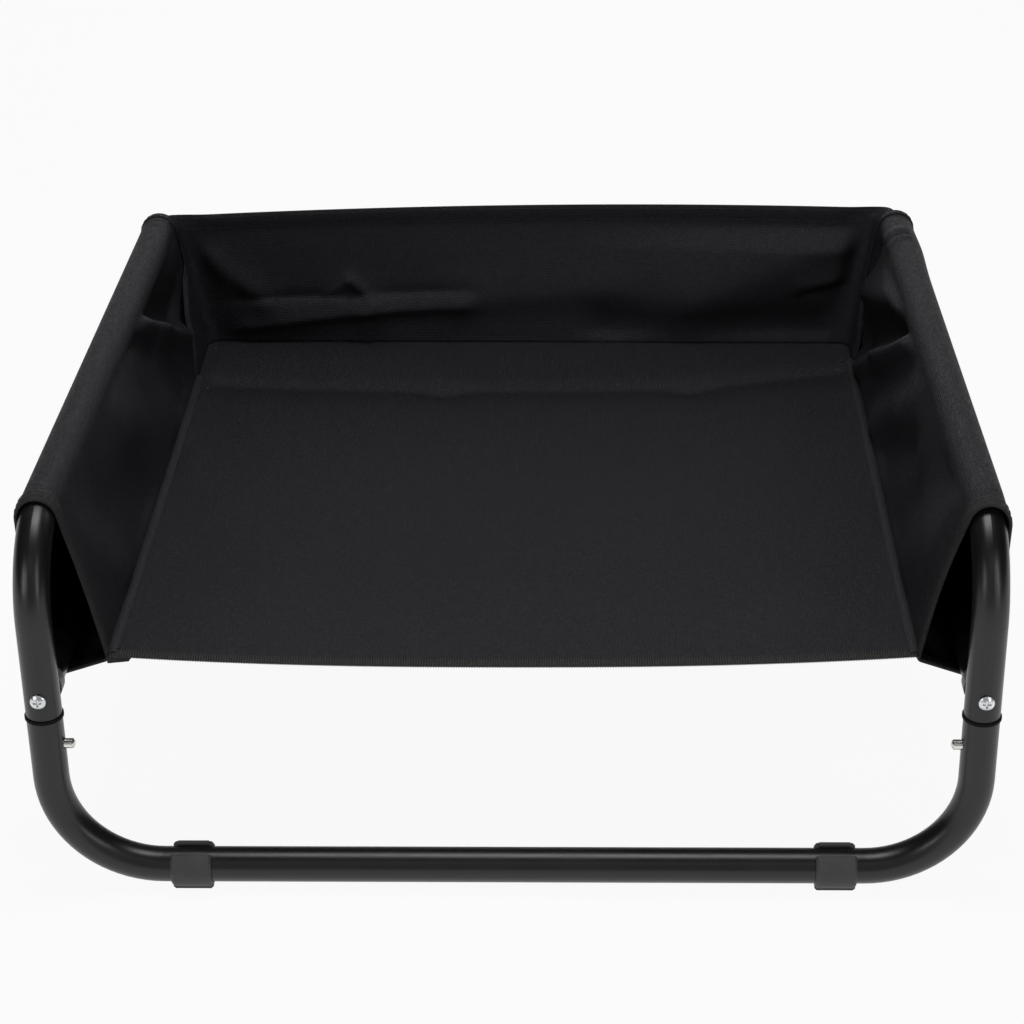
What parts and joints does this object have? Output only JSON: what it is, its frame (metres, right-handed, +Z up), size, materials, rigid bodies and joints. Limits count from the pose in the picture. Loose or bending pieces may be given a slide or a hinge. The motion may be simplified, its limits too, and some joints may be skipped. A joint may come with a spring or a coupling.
{
  "type": "raised dog cot",
  "caption": "Raised dog cot: bent steel tube frame on clip-on feet, with a woven sling floor, two sleeved side walls, a back wall and an open front.",
  "frame": {"origin": "on the ground, under the middle of the frame", "axes": "+Z up, +Y to the back wall, -Y to the open front, +X to the right seen from the front"},
  "size_m": [0.5656, 0.5656, 0.2415],
  "materials": {
    "powder_coat": "satin",
    "sling_cloth": "matte woven",
    "grey_plastic": "matte",
    "ring_plastic": "matte",
    "zinc": "bright zinc plate",
    "nickel": "nickel plate",
    "bare_steel": "plain"
  },
  "bodies": {
    "frame": {"left_rail": "powder_coat", "right_rail": "powder_coat", "front_u_leg": "powder_coat", "rear_u_leg": "powder_coat", "left_side_bar": "powder_coat", "right_side_bar": "powder_coat", "floor_panel": "sling_cloth", "left_sleeve": "sling_cloth", "right_sleeve": "sling_cloth", "back_panel": "sling_cloth", "front_left_spigot": "bare_steel", "front_left_collar": "ring_plastic", "front_left_snap_spring": "bare_steel", "front_left_bar_saddle": "grey_plastic", "front_left_bar_nut": "zinc", "front_left_frame_screw": "zinc", "front_left_foot": "grey_plastic", "front_right_spigot": "bare_steel", "front_right_collar": "ring_plastic", "front_right_snap_spring": "bare_steel", "front_right_bar_saddle": "grey_plastic", "front_right_bar_nut": "zinc", "front_right_frame_screw": "zinc", "front_right_foot": "grey_plastic", "rear_left_spigot": "bare_steel", "rear_left_collar": "ring_plastic", "rear_left_snap_spring": "bare_steel", "rear_left_bar_saddle": "grey_plastic", "rear_left_bar_nut": "zinc", "rear_left_frame_screw": "zinc", "rear_left_foot": "grey_plastic", "rear_right_spigot": "bare_steel", "rear_right_collar": "ring_plastic", "rear_right_snap_spring": "bare_steel", "rear_right_bar_saddle": "grey_plastic", "rear_right_bar_nut": "zinc", "rear_right_frame_screw": "zinc", "rear_right_foot": "grey_plastic"},
    "front_left_button": {"front_left_snap_button": "nickel"},
    "front_right_button": {"front_right_snap_button": "nickel"},
    "rear_left_button": {"rear_left_snap_button": "nickel"},
    "rear_right_button": {"rear_right_snap_button": "nickel"}
  },
  "joints": [
    {"name": "front_left_button_press", "type": "slide", "parent": "frame", "child": "front_left_button", "axis": [-1, 0, 0], "range_m": [0, 0.0074], "stiffness_N_per_m": 1200, "deforming": ["front_left_snap_spring"]},
    {"name": "front_right_button_press", "type": "slide", "parent": "frame", "child": "front_right_button", "axis": [1, 0, 0], "range_m": [0, 0.0074], "stiffness_N_per_m": 1200, "deforming": ["front_right_snap_spring"]},
    {"name": "rear_left_button_press", "type": "slide", "parent": "frame", "child": "rear_left_button", "axis": [-1, 0, 0], "range_m": [0, 0.0074], "stiffness_N_per_m": 1200, "deforming": ["rear_left_snap_spring"]},
    {"name": "rear_right_button_press", "type": "slide", "parent": "frame", "child": "rear_right_button", "axis": [1, 0, 0], "range_m": [0, 0.0074], "stiffness_N_per_m": 1200, "deforming": ["rear_right_snap_spring"]}
  ]
}
